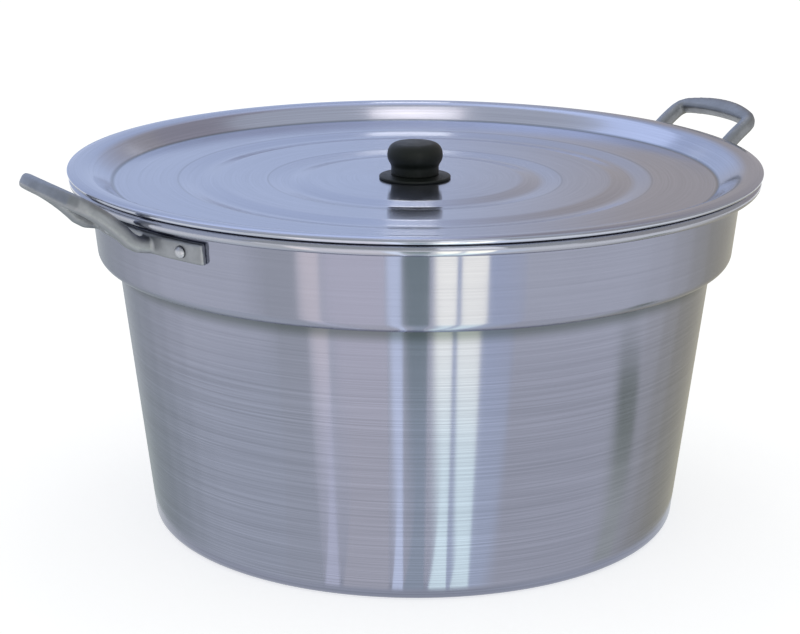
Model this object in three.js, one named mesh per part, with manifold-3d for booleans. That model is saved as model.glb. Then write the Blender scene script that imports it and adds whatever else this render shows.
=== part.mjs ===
// A large stockpot of spun aluminium with a sunk lid, a black lid knob and two riveted loop handles.
// Millimetres, +Z up. The origin is the centre of the base, on the surface that the pot stands on.
// The handles point along +X and -X.

import * as THREE from 'three';
import { mergeVertices } from 'three/addons/utils/BufferGeometryUtils.js';
import Module from 'manifold-3d';

const wasm = await Module();
wasm.setup();

// Pot: one aluminium disc spun into a tapered body, a wider collar and a rolled rim
const BODY_HEIGHT = 210;
const COLLAR_HEIGHT = 67;
const POT_SHEET = 2.5;
const BASE_RADIUS = 206;
const BASE_CORNER = 8;
const BODY_FLARE = 24.6;
const NECK_ROUND = 2;
const SHOULDER_WIDTH = 14.4;
const SHOULDER_ROUND = 8.5;
const COLLAR_FLARE = 6.6;
const FLARE_ROUND = 7.5;
const LIP_WIDTH = 14.4;
const BEAD_RADIUS = 3.2;

// Lid: a spun disc that hangs its panel inside the mouth; heights are from the underside of its hem
const LID_SHEET = 2;
const LID_OVERHANG = 1.2;
const LID_MOUTH_CLEARANCE = 16;
const HEM_RADIUS = 2;
const CREST_RISE = 4.5;
const CREST_WIDTH = 8.5;
const CREST_ROUND = 8;
const SLOPE_ROUND = 22;
const HEM_SLOPE_WIDTH = 5.5;
const PANEL_DROP = 8.5;
const PANEL_WIDTH = 50;
const CREASE_ROUND = 4;
const GROOVE_WIDTH = 31;
const GROOVE_ROUND = 30;
const OUTER_GROOVE_DEPTH = 2.8;
const OUTER_GROOVE_RETURN = 1.8;
const BAND_WIDTH = 38;
const BAND_FALL = 1.4;
const INNER_GROOVE_DEPTH = 2;

// Knob: phenolic grip on a heat guard, held by a screw from under the lid
const GUARD_RADIUS = 27.8;
const GUARD_THICKNESS = 3;
const GUARD_EDGE = 1;
const KNOB_HEIGHT = 25.7;
const NECK_RADIUS = 18.5;
const NECK_HEIGHT = 5.5;
const HEAD_SWELL = 3.2;
const HEAD_HEIGHT = 9.2;
const CROWN_RADIUS = 14;
const CROWN_DROP = 1.1;
const INSERT_WALL = 1.7;
const INSERT_LENGTH = 13;
const SCREW_RADIUS = 3;
const SCREW_HEAD_RADIUS = 6;
const SCREW_HEAD_HEIGHT = 3.6;
const SCREW_HEAD_EDGE = 1.6;
const SCREW_TIP_MARGIN = 2;
const SLOT_WIDTH = 1.6;
const SLOT_DEPTH = 1.6;
const WASHER_RADIUS = 9;
const WASHER_THICKNESS = 1.2;

// Handle: a cast strap that follows the collar, and a loop whose legs sweep out and up past the rim
const STRAP_DROP = 30;
const STRAP_HEIGHT = 16;
const STRAP_THICKNESS = 4.5;
const STRAP_CHAMFER = 1.2;
const STRAP_HALF_LENGTH = 98;
const LEG_ROOT_DROP = 23;
const ROOT_RISE = 5;
const LEG_RISE = 47;
const GRIP_RISE = 28;
const ROOT_BEND = 18;
const LEG_BEND = 152;
const LEG_RIM_CLEARANCE = 2.4;
const LOOP_HALF_WIDTH = 44.3;
const LOOP_CORNER = 10;
const GRIP_BOW = 4.7;
const LEG_WIDTH = 12.4;
const GRIP_WIDTH = 10.2;
const PALM_SWELL = 2.9;
const BAR_DEPTH = 12;
const BAR_SQUARENESS = 0.6;

// Rivets: one on either side of each leg of a handle, at these lengths from the handle's middle
const RIVET_INNER_OFFSET = 14;
const RIVET_OUTER_OFFSET = 78;
const RIVET_RADIUS = 2.4;
const RIVET_HEAD_RADIUS = 4.5;
const RIVET_HEAD_HEIGHT = 2.4;
const RIVET_TAIL_HEIGHT = 1.5;

// Clearances
const FIT_GAP = 0.3;
const SEAT_GAP = 0.1;

// Fineness of round shapes
const AROUND_POT = 52;
const AROUND_KNOB = 28;
const AROUND_FASTENER = 12;
const ARC_STEP = 30;
const BAR_SIDES = 10;
const LEG_STEPS = 9;
const BOW_STEPS = 5;
const HEAD_STEPS = 9;
const DOME_STEPS = 3;

const radians = THREE.MathUtils.degToRad;
const lerp = THREE.MathUtils.lerp;

// Round profiles, as points of radius and height

// Points on an arc from one angle to another, in degrees, anticlockwise where the second is larger
function arc(centreR, centreZ, radius, from, to) {
  const steps = Math.max(1, Math.round(Math.abs(to - from) / ARC_STEP));
  const points = [];
  for (let i = 0; i <= steps; i += 1) {
    const angle = radians(lerp(from, to, i / steps));
    points.push(new THREE.Vector2(centreR + radius * Math.cos(angle), centreZ + radius * Math.sin(angle)));
  }
  return points;
}

// The outline through corners [radius, height, rounding] with an arc at each rounded corner
function rounded(corners) {
  const points = [];
  corners.forEach(([r, z, rounding], i) => {
    const here = new THREE.Vector2(r, z);
    if (!rounding) {
      points.push(here);
      return;
    }
    const back = new THREE.Vector2(...corners[i - 1]).sub(here).normalize();
    const on = new THREE.Vector2(...corners[i + 1]).sub(here).normalize();
    const half = Math.acos(THREE.MathUtils.clamp(back.dot(on), -1, 1)) / 2;
    const middle = back.clone().add(on).normalize();
    const centre = here.clone().addScaledVector(middle, rounding / Math.sin(half));
    const start = here.clone().addScaledVector(back, rounding / Math.tan(half)).sub(centre);
    const turn = Math.sign(on.cross(back)) * (180 - THREE.MathUtils.radToDeg(2 * half));
    const from = THREE.MathUtils.radToDeg(start.angle());
    points.push(...arc(centre.x, centre.y, rounding, from, from + turn));
  });
  return points;
}

// The same corners moved sideways by a sheet's thickness, to the left of the way they run
function offset(corners, distance) {
  const sides = [];
  for (let i = 0; i + 1 < corners.length; i += 1) {
    const start = new THREE.Vector2(...corners[i]);
    const way = new THREE.Vector2(...corners[i + 1]).sub(start).normalize();
    const shift = new THREE.Vector2(-way.y, way.x).multiplyScalar(distance);
    sides.push({ start: start.clone().add(shift), way, shift });
  }
  return corners.map(([r, z, rounding], i) => {
    const before = sides[i - 1];
    const after = sides[i];
    if (!before || !after) {
      const end = new THREE.Vector2(r, z).add((before || after).shift);
      return [end.x, end.y, 0];
    }
    const across = before.way.cross(after.way);
    const along = after.start.clone().sub(before.start).cross(after.way) / across;
    const corner = before.start.clone().addScaledVector(before.way, along);
    return [corner.x, corner.y, rounding ? rounding - Math.sign(across) * distance : 0];
  });
}

// A dome from its edge to its top on the axis, as part of a circle
function dome(radius, edgeZ, height) {
  const sphere = (radius ** 2 + height ** 2) / (2 * Math.abs(height));
  const points = [];
  for (let i = 0; i <= DOME_STEPS; i += 1) {
    const r = radius * Math.sin(((1 - i / DOME_STEPS) * Math.PI) / 2);
    const fall = sphere - Math.sqrt(sphere ** 2 - r ** 2);
    points.push(new THREE.Vector2(r, edgeZ + height - Math.sign(height) * fall));
  }
  return points;
}

// A solid of revolution about Z from a profile that closes on the axis or on itself
function revolve(points, segments) {
  return new THREE.LatheGeometry(points, segments).rotateX(Math.PI / 2);
}

// Joins and cuts

function toSolid(geometry) {
  const bare = geometry.clone();
  bare.deleteAttribute('normal');
  bare.deleteAttribute('uv');
  const merged = mergeVertices(bare);
  const index = merged.index.array;
  const triangles = [];
  for (let i = 0; i < index.length; i += 3) {
    const corners = [index[i], index[i + 1], index[i + 2]];
    if (new Set(corners).size === 3) {
      triangles.push(...corners);
    }
  }
  return new wasm.Manifold(new wasm.Mesh({
    numProp: 3,
    vertProperties: new Float32Array(merged.attributes.position.array),
    triVerts: new Uint32Array(triangles),
  }));
}

function toGeometry(solid) {
  const { vertProperties, triVerts } = solid.getMesh();
  const geometry = new THREE.BufferGeometry();
  geometry.setAttribute('position', new THREE.BufferAttribute(new Float32Array(vertProperties), 3));
  geometry.setIndex(new THREE.BufferAttribute(new Uint32Array(triVerts), 1));
  geometry.computeVertexNormals();
  return geometry;
}

// Materials

function finish(colour, roughness, metalness) {
  return new THREE.MeshStandardMaterial({ color: colour, roughness, metalness });
}

const spunAluminium = finish(0xa9abb8, 0.32, 1);
const castAluminium = finish(0x85867e, 0.5, 1);
const rivetAluminium = finish(0xb4b6bb, 0.35, 1);
const blackPhenolic = finish(0x14160f, 0.25, 0);
const brass = finish(0xb08d4a, 0.35, 1);
const platedSteel = finish(0x9b9da0, 0.35, 1);

function piece(name, geometry, material) {
  const mesh = new THREE.Mesh(geometry, material);
  mesh.name = name;
  return mesh;
}

// Main levels and radii of the pot, and where the collar's outer face stands at a given height

const POT_HEIGHT = BODY_HEIGHT + COLLAR_HEIGHT;
const LIP_UNDERSIDE = POT_HEIGHT - POT_SHEET;
const BODY_TOP_RADIUS = BASE_RADIUS + BODY_FLARE;
const COLLAR_FOOT_RADIUS = BODY_TOP_RADIUS + SHOULDER_WIDTH;
const COLLAR_TOP_RADIUS = COLLAR_FOOT_RADIUS + COLLAR_FLARE;
const RIM_RADIUS = COLLAR_TOP_RADIUS + LIP_WIDTH;
const BEAD_R = RIM_RADIUS - BEAD_RADIUS;
const BEAD_Z = POT_HEIGHT - BEAD_RADIUS;
const COLLAR_LEAN = COLLAR_FLARE / (LIP_UNDERSIDE - BODY_HEIGHT);

function collarRadius(height) {
  return COLLAR_FOOT_RADIUS + COLLAR_LEAN * (height - BODY_HEIGHT);
}

// Rivet places: on the strap's middle line, square to the leaning collar

const STRAP_BOTTOM = POT_HEIGHT - STRAP_DROP;
const RIVET_HEIGHT = STRAP_BOTTOM + STRAP_HEIGHT / 2;
const RIVET_CIRCLE = collarRadius(RIVET_HEIGHT);
const RIVET_OFFSETS = [-RIVET_OUTER_OFFSET, -RIVET_INNER_OFFSET, RIVET_INNER_OFFSET, RIVET_OUTER_OFFSET];
const RIVET_ANGLES = RIVET_OFFSETS.map((length) => length / RIVET_CIRCLE);
const RIVET_HOLE_RADIUS = RIVET_RADIUS + FIT_GAP;
const RIVET_HOLE_LENGTH = 4 * (POT_SHEET + STRAP_THICKNESS);
const FACET_SAG = RIVET_CIRCLE * (1 - Math.cos(Math.PI / AROUND_POT));

function rivetPlace(angle) {
  const place = new THREE.Object3D();
  place.rotation.set(0, Math.atan(COLLAR_LEAN), angle, 'ZYX');
  place.position.set(RIVET_CIRCLE * Math.cos(angle), RIVET_CIRCLE * Math.sin(angle), RIVET_HEIGHT);
  place.updateMatrix();
  return place;
}

function rivetHole(angle) {
  const hole = new THREE.CylinderGeometry(
    RIVET_HOLE_RADIUS, RIVET_HOLE_RADIUS, RIVET_HOLE_LENGTH, AROUND_FASTENER,
  );
  hole.rotateZ(-Math.PI / 2);
  return toSolid(hole.applyMatrix4(rivetPlace(angle).matrix));
}

// Pot body

function potBody() {
  const outside = [
    [0, 0],
    [BASE_RADIUS, 0, BASE_CORNER],
    [BODY_TOP_RADIUS, BODY_HEIGHT, NECK_ROUND],
    [COLLAR_FOOT_RADIUS, BODY_HEIGHT, SHOULDER_ROUND],
    [COLLAR_TOP_RADIUS, LIP_UNDERSIDE, FLARE_ROUND],
    [BEAD_R, LIP_UNDERSIDE],
  ];
  const inside = offset(outside, POT_SHEET);
  const meet = THREE.MathUtils.radToDeg(Math.asin((LIP_UNDERSIDE - BEAD_Z) / BEAD_RADIUS));
  const profile = [
    ...rounded(outside).slice(0, -1),
    ...arc(BEAD_R, BEAD_Z, BEAD_RADIUS, 180 - meet, 450),
    ...rounded(inside).slice(0, -1).reverse(),
  ];
  let body = toSolid(revolve(profile, AROUND_POT));
  for (const side of [0, Math.PI]) {
    for (const angle of RIVET_ANGLES) {
      body = body.subtract(rivetHole(side + angle));
    }
  }
  return piece('pot_body', toGeometry(body), spunAluminium);
}

// Lid with its knob, from the underside of the hem upwards

const LID_RADIUS = RIM_RADIUS + LID_OVERHANG;
const CREASE_RADIUS = COLLAR_TOP_RADIUS - POT_SHEET - LID_MOUTH_CLEARANCE;
const OUTER_GROOVE_RADIUS = CREASE_RADIUS - PANEL_WIDTH;
const BAND_RADIUS = OUTER_GROOVE_RADIUS - GROOVE_WIDTH;
const INNER_GROOVE_RADIUS = BAND_RADIUS - BAND_WIDTH;
const DISC_RADIUS = INNER_GROOVE_RADIUS - GROOVE_WIDTH;
const CREST_OUTER_RADIUS = LID_RADIUS - HEM_SLOPE_WIDTH;
const HEM_R = LID_RADIUS - HEM_RADIUS;
const HEM_START = 60;
const HEM_END = -210;
const OUTER_GROOVE_FLOOR = -PANEL_DROP - OUTER_GROOVE_DEPTH;
const BAND_TOP = OUTER_GROOVE_FLOOR + OUTER_GROOVE_RETURN;
const DISC_TOP = BAND_TOP - BAND_FALL;
const DISC_UNDERSIDE = DISC_TOP - LID_SHEET;
const SCREW_HOLE_RADIUS = SCREW_RADIUS + FIT_GAP;

function lid() {
  const hem = arc(HEM_R, HEM_RADIUS, HEM_RADIUS, HEM_START, HEM_END);
  const top = [
    [SCREW_HOLE_RADIUS, DISC_TOP],
    [DISC_RADIUS, DISC_TOP],
    [DISC_RADIUS + GROOVE_WIDTH / 2, DISC_TOP - INNER_GROOVE_DEPTH, GROOVE_ROUND],
    [INNER_GROOVE_RADIUS, DISC_TOP],
    [BAND_RADIUS, BAND_TOP],
    [BAND_RADIUS + GROOVE_WIDTH / 2, OUTER_GROOVE_FLOOR, GROOVE_ROUND],
    [OUTER_GROOVE_RADIUS, -PANEL_DROP],
    [CREASE_RADIUS, -PANEL_DROP, CREASE_ROUND],
    [CREST_OUTER_RADIUS - CREST_WIDTH, CREST_RISE, SLOPE_ROUND],
    [CREST_OUTER_RADIUS, CREST_RISE, CREST_ROUND],
    [hem[0].x, hem[0].y],
  ];
  const underside = offset(top, -LID_SHEET);
  const profile = [
    ...rounded(top).slice(0, -1),
    ...hem,
    ...rounded(underside).slice(0, -1).reverse(),
  ];
  profile.push(profile[0].clone());
  return piece('lid', revolve(profile.reverse(), AROUND_POT), spunAluminium);
}

function heatGuard() {
  const bottom = DISC_TOP + SEAT_GAP;
  const profile = [
    new THREE.Vector2(SCREW_HOLE_RADIUS, bottom),
    new THREE.Vector2(GUARD_RADIUS - GUARD_EDGE, bottom),
    new THREE.Vector2(GUARD_RADIUS, bottom + GUARD_EDGE),
    new THREE.Vector2(GUARD_RADIUS - GUARD_EDGE / 2, bottom + 2 * GUARD_EDGE),
    new THREE.Vector2(NECK_RADIUS, bottom + GUARD_THICKNESS),
    new THREE.Vector2(SCREW_HOLE_RADIUS, bottom + GUARD_THICKNESS),
  ];
  profile.push(profile[0].clone());
  return piece('knob_heat_guard', revolve(profile, AROUND_KNOB), blackPhenolic);
}

const INSERT_RADIUS = SCREW_HOLE_RADIUS + INSERT_WALL;
const KNOB_BOTTOM = DISC_TOP + GUARD_THICKNESS + 2 * SEAT_GAP;

function knob() {
  const socketRadius = INSERT_RADIUS + FIT_GAP;
  const headRadius = NECK_RADIUS + HEAD_SWELL;
  const socketTop = KNOB_BOTTOM + INSERT_LENGTH + FIT_GAP;
  const head = new THREE.SplineCurve([
    new THREE.Vector2(NECK_RADIUS, KNOB_BOTTOM + NECK_HEIGHT),
    new THREE.Vector2(headRadius, KNOB_BOTTOM + NECK_HEIGHT + HEAD_HEIGHT),
    new THREE.Vector2(lerp(headRadius, CROWN_RADIUS, 1 / 3), KNOB_BOTTOM + KNOB_HEIGHT - 3 * CROWN_DROP),
    new THREE.Vector2(CROWN_RADIUS, KNOB_BOTTOM + KNOB_HEIGHT - CROWN_DROP),
    new THREE.Vector2(0, KNOB_BOTTOM + KNOB_HEIGHT),
  ]);
  const profile = [
    new THREE.Vector2(0, socketTop),
    new THREE.Vector2(socketRadius, socketTop),
    new THREE.Vector2(socketRadius, KNOB_BOTTOM),
    new THREE.Vector2(NECK_RADIUS, KNOB_BOTTOM),
    ...head.getPoints(HEAD_STEPS),
  ];
  return piece('knob', revolve(profile, AROUND_KNOB), blackPhenolic);
}

function knobInsert() {
  const profile = [
    new THREE.Vector2(SCREW_HOLE_RADIUS, KNOB_BOTTOM),
    new THREE.Vector2(INSERT_RADIUS, KNOB_BOTTOM),
    new THREE.Vector2(INSERT_RADIUS, KNOB_BOTTOM + INSERT_LENGTH),
    new THREE.Vector2(SCREW_HOLE_RADIUS, KNOB_BOTTOM + INSERT_LENGTH),
  ];
  profile.push(profile[0].clone());
  return piece('knob_insert', revolve(profile, AROUND_FASTENER), brass);
}

const WASHER_TOP = DISC_UNDERSIDE - SEAT_GAP;

function knobWasher() {
  const profile = [
    new THREE.Vector2(SCREW_HOLE_RADIUS, WASHER_TOP - WASHER_THICKNESS),
    new THREE.Vector2(WASHER_RADIUS, WASHER_TOP - WASHER_THICKNESS),
    new THREE.Vector2(WASHER_RADIUS, WASHER_TOP),
    new THREE.Vector2(SCREW_HOLE_RADIUS, WASHER_TOP),
  ];
  profile.push(profile[0].clone());
  return piece('knob_washer', revolve(profile, AROUND_KNOB), platedSteel);
}

function knobScrew() {
  const headTop = WASHER_TOP - WASHER_THICKNESS - SEAT_GAP;
  const headBottom = headTop - SCREW_HEAD_HEIGHT;
  const tip = KNOB_BOTTOM + INSERT_LENGTH - SCREW_TIP_MARGIN;
  const profile = [
    ...dome(SCREW_HEAD_RADIUS, headTop - SCREW_HEAD_EDGE, SCREW_HEAD_EDGE - SCREW_HEAD_HEIGHT).reverse(),
    new THREE.Vector2(SCREW_HEAD_RADIUS, headTop),
    new THREE.Vector2(SCREW_RADIUS, headTop),
    new THREE.Vector2(SCREW_RADIUS, tip),
    new THREE.Vector2(0, tip),
  ];
  const slot = new THREE.BoxGeometry(2 * SCREW_HEAD_RADIUS + FIT_GAP, SLOT_WIDTH, 2 * SLOT_DEPTH);
  slot.translate(0, 0, headBottom);
  const screw = toSolid(revolve(profile, AROUND_FASTENER)).subtract(toSolid(slot));
  return piece('knob_screw', toGeometry(screw), platedSteel);
}

// Handle, pointing along +X

// The leg's middle line bends up near the collar and then over towards the grip.
// The second bend's centre is set so that the bar passes the rolled rim at the stated clearance.
const ROOT_ARC = ROOT_BEND * radians(LEG_RISE - ROOT_RISE);
const LEG_ARC = LEG_BEND * radians(LEG_RISE - GRIP_RISE);
const LEG_LENGTH = ROOT_ARC + LEG_ARC;
const ROOT_OUT = ROOT_BEND * (Math.sin(radians(LEG_RISE)) - Math.sin(radians(ROOT_RISE)));
const ROOT_UP = ROOT_BEND * (Math.cos(radians(ROOT_RISE)) - Math.cos(radians(LEG_RISE)));
const LEG_ROOT_HEIGHT = POT_HEIGHT - LEG_ROOT_DROP;
const BEND_Z = LEG_ROOT_HEIGHT + ROOT_UP - LEG_BEND * Math.cos(radians(LEG_RISE));
const BEND_REACH = LEG_BEND + BAR_DEPTH / 2 + LEG_RIM_CLEARANCE + BEAD_RADIUS;
const BEND_R = BEAD_R + Math.sqrt(BEND_REACH ** 2 - (BEAD_Z - BEND_Z) ** 2);
const LEG_ROOT_RADIUS = BEND_R - LEG_BEND * Math.sin(radians(LEG_RISE)) - ROOT_OUT;
const LEG_STUB = 2 * POT_SHEET;
const LEG_RUN = (LEG_ROOT_RADIUS - collarRadius(LEG_ROOT_HEIGHT)) / Math.cos(radians(ROOT_RISE));
const LEG_START = -LEG_RUN - LEG_STUB;

// Where the middle line is at a length from the first bend: how far out, how high, and its rise
function legPlace(length) {
  const first = radians(ROOT_RISE) + THREE.MathUtils.clamp(length, 0, ROOT_ARC) / ROOT_BEND;
  const second = THREE.MathUtils.clamp(length - ROOT_ARC, 0, LEG_ARC) / LEG_BEND;
  const rise = first - second;
  const straight = Math.min(length, 0) + Math.max(length - LEG_LENGTH, 0);
  const bentOut = ROOT_BEND * (Math.sin(first) - Math.sin(radians(ROOT_RISE)));
  const bentUp = ROOT_BEND * (Math.cos(radians(ROOT_RISE)) - Math.cos(first));
  const sweepOut = LEG_BEND * (Math.sin(first) - Math.sin(rise));
  const sweepUp = LEG_BEND * (Math.cos(rise) - Math.cos(first));
  return {
    out: LEG_ROOT_RADIUS + bentOut + sweepOut + straight * Math.cos(rise),
    up: LEG_ROOT_HEIGHT + bentUp + sweepUp + straight * Math.sin(rise),
    rise,
  };
}

// The loop's middle line, flattened out: x across the handle, y along the leg
function loopLine() {
  const cornerX = LOOP_HALF_WIDTH - LOOP_CORNER;
  const straightEnd = LEG_LENGTH - LOOP_CORNER;
  const half = [];
  for (let i = 0; i < LEG_STEPS; i += 1) {
    half.push(new THREE.Vector2(LOOP_HALF_WIDTH, lerp(LEG_START, straightEnd, i / LEG_STEPS)));
  }
  half.push(...arc(cornerX, straightEnd, LOOP_CORNER, 0, 90));
  for (let i = 1; i < BOW_STEPS; i += 1) {
    const x = lerp(cornerX, 0, i / BOW_STEPS);
    half.push(new THREE.Vector2(x, LEG_LENGTH + GRIP_BOW * (1 - (x / cornerX) ** 2)));
  }
  const mirrored = half.map((point) => new THREE.Vector2(-point.x, point.y)).reverse();
  return [...half, new THREE.Vector2(0, LEG_LENGTH + GRIP_BOW), ...mirrored];
}

// A tube of one section along the loop, wider at the palm, closed at both ends
function loop() {
  const line = loopLine();
  const positions = [];
  line.forEach((point, i) => {
    const before = line[Math.max(i - 1, 0)];
    const after = line[Math.min(i + 1, line.length - 1)];
    const way = after.clone().sub(before).normalize();
    const side = new THREE.Vector2(way.y, -way.x);
    const share = THREE.MathUtils.clamp(point.y / LEG_LENGTH, 0, 1);
    const palm = Math.max(0, 1 - (point.x / LOOP_HALF_WIDTH) ** 2) * PALM_SWELL;
    const halfWidth = lerp(LEG_WIDTH, GRIP_WIDTH, share) / 2 + palm;
    for (let k = 0; k < BAR_SIDES; k += 1) {
      const angle = (2 * Math.PI * (k + 0.5)) / BAR_SIDES;
      const across = Math.sign(Math.cos(angle)) * Math.abs(Math.cos(angle)) ** BAR_SQUARENESS;
      const deep = Math.sign(Math.sin(angle)) * Math.abs(Math.sin(angle)) ** BAR_SQUARENESS;
      const flat = point.clone().addScaledVector(side, across * halfWidth);
      const { out, up, rise } = legPlace(flat.y);
      const lift = (deep * BAR_DEPTH) / 2;
      positions.push(out - lift * Math.sin(rise), flat.x, up + lift * Math.cos(rise));
    }
  });
  const index = [];
  for (let i = 0; i + 1 < line.length; i += 1) {
    for (let k = 0; k < BAR_SIDES; k += 1) {
      const a = i * BAR_SIDES + k;
      const b = i * BAR_SIDES + ((k + 1) % BAR_SIDES);
      index.push(a, b, a + BAR_SIDES, b, b + BAR_SIDES, a + BAR_SIDES);
    }
  }
  const last = (line.length - 1) * BAR_SIDES;
  for (let k = 1; k + 1 < BAR_SIDES; k += 1) {
    index.push(0, k + 1, k, last, last + k, last + k + 1);
  }
  const geometry = new THREE.BufferGeometry();
  geometry.setAttribute('position', new THREE.Float32BufferAttribute(positions, 3));
  geometry.setIndex(index);
  return geometry;
}

// The strap: a leaning ring with chamfered outer edges, cut to a sector about the handle
function strap() {
  const top = STRAP_BOTTOM + STRAP_HEIGHT;
  const face = (height, depth) => new THREE.Vector2(collarRadius(height) + FIT_GAP + depth, height);
  const profile = [
    face(STRAP_BOTTOM, 0),
    face(STRAP_BOTTOM, STRAP_THICKNESS - STRAP_CHAMFER),
    face(STRAP_BOTTOM + STRAP_CHAMFER, STRAP_THICKNESS),
    face(top - STRAP_CHAMFER, STRAP_THICKNESS),
    face(top, STRAP_THICKNESS - STRAP_CHAMFER),
    face(top, 0),
  ];
  profile.push(profile[0].clone());
  const reach = 2 * RIM_RADIUS;
  const spread = reach * Math.tan(STRAP_HALF_LENGTH / RIVET_CIRCLE);
  const wedge = new THREE.Shape([
    new THREE.Vector2(0, 0),
    new THREE.Vector2(reach, -spread),
    new THREE.Vector2(reach, spread),
  ]);
  const sector = new THREE.ExtrudeGeometry(wedge, { depth: 2 * POT_HEIGHT, bevelEnabled: false });
  return toSolid(revolve(profile, AROUND_POT)).intersect(toSolid(sector));
}

// The room that the pot's wall takes, with the gap that the handle keeps to it
function collarRoom() {
  const profile = [
    new THREE.Vector2(0, BODY_HEIGHT),
    new THREE.Vector2(collarRadius(BODY_HEIGHT) + FIT_GAP, BODY_HEIGHT),
    new THREE.Vector2(collarRadius(LIP_UNDERSIDE) + FIT_GAP, LIP_UNDERSIDE),
    new THREE.Vector2(0, LIP_UNDERSIDE),
  ];
  return toSolid(revolve(profile, AROUND_POT));
}

function handleGeometry() {
  let handle = toSolid(loop()).subtract(collarRoom()).add(strap());
  for (const angle of RIVET_ANGLES) {
    handle = handle.subtract(rivetHole(angle));
  }
  return toGeometry(handle);
}

// A rivet along +X: the tail inside the pot, the shank, and the domed head on the strap
function rivetGeometry() {
  const tail = -POT_SHEET - FACET_SAG - SEAT_GAP;
  const seat = FIT_GAP + STRAP_THICKNESS + SEAT_GAP;
  const profile = [
    new THREE.Vector2(0, tail - RIVET_TAIL_HEIGHT),
    new THREE.Vector2(RIVET_HEAD_RADIUS, tail - RIVET_TAIL_HEIGHT),
    new THREE.Vector2(RIVET_HEAD_RADIUS, tail),
    new THREE.Vector2(RIVET_RADIUS, tail),
    new THREE.Vector2(RIVET_RADIUS, seat),
    ...dome(RIVET_HEAD_RADIUS, seat, RIVET_HEAD_HEIGHT),
  ];
  return revolve(profile, AROUND_FASTENER).rotateY(Math.PI / 2);
}

function handleGroup(side, turn) {
  const group = new THREE.Group();
  group.rotation.z = turn;
  group.add(piece(`handle_${side}`, handleGeometry(), castAluminium));
  RIVET_ANGLES.forEach((angle, i) => {
    const rivet = piece(`rivet_${side}_${i + 1}`, rivetGeometry(), rivetAluminium);
    const place = rivetPlace(angle);
    rivet.position.copy(place.position);
    rivet.rotation.copy(place.rotation);
    group.add(rivet);
  });
  return group;
}

// The whole stockpot

const stockpot = new THREE.Group();
stockpot.add(potBody());

const lidGroup = new THREE.Group();
lidGroup.position.z = POT_HEIGHT + FIT_GAP;
lidGroup.add(lid(), heatGuard(), knob(), knobInsert(), knobWasher(), knobScrew());
stockpot.add(lidGroup);

stockpot.add(handleGroup('right', 0), handleGroup('left', Math.PI));

export default stockpot;
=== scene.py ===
"""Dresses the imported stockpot: spun sheet, cast handles, a moulded knob and a plain studio."""

import math

import bpy
from mathutils import Matrix, Vector, geometry, noise


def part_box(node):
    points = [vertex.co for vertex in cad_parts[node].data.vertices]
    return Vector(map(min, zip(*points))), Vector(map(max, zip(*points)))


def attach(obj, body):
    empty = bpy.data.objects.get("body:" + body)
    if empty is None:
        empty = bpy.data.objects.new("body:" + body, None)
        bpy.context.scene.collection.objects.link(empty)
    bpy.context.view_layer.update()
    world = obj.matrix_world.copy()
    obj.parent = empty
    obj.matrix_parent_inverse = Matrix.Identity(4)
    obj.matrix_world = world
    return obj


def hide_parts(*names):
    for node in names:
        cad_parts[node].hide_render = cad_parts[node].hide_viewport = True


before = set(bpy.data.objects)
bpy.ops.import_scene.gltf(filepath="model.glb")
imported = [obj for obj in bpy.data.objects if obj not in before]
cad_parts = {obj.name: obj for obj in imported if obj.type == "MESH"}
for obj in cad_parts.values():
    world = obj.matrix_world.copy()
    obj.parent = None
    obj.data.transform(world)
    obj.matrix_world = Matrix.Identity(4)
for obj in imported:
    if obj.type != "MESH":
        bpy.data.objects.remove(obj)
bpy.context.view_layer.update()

bl_info = {
    "name": "Stockpot dressing",
    "version": (1, 0, 0),
    "blender": (4, 5, 0),
    "location": "View3D > Sidebar > Stockpot",
    "description": "Builds the fine surfaces, finishes and studio of a spun-aluminium stockpot",
    "category": "Object",
}

POT_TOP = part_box("pot_body")[1].z
RIM_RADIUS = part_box("pot_body")[1].x
LID_GAP = 0.0003
LID_BOTTOM = POT_TOP + LID_GAP
LID_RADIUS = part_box("lid")[1].x
GUARD_LOW, GUARD_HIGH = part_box("knob_heat_guard")
KNOB_LOW, KNOB_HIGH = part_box("knob")
WASHER_LOW, WASHER_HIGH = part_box("knob_washer")
SCREW_LOW, SCREW_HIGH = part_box("knob_screw")
SIDES = ("right", "left")


def linear(hex_colour):
    """The linear colour of an sRGB hex value."""
    parts = [int(hex_colour[i:i + 2], 16) / 255 for i in (0, 2, 4)]
    return [c / 12.92 if c <= 0.04045 else ((c + 0.055) / 1.055) ** 2.4 for c in parts] + [1.0]


def length(name, description, default):
    """A length in metres that the sidebar shows."""
    return bpy.props.FloatProperty(
        name=name, description=description, default=default, subtype="DISTANCE", unit="LENGTH", precision=5
    )


def colour(name, description, hex_colour):
    """A colour that the sidebar shows."""
    return bpy.props.FloatVectorProperty(
        name=name, description=description, default=linear(hex_colour), subtype="COLOR",
        size=4, min=0, max=1
    )


def share(name, description, default):
    """A plain share from 0 to 1 that the sidebar shows."""
    return bpy.props.FloatProperty(
        name=name, description=description, default=default, min=0, max=1, subtype="FACTOR"
    )


def turning(name, description, default):
    """An angle in radians that the sidebar shows."""
    return bpy.props.FloatProperty(
        name=name, description=description, default=default, subtype="ANGLE", unit="ROTATION"
    )


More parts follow.
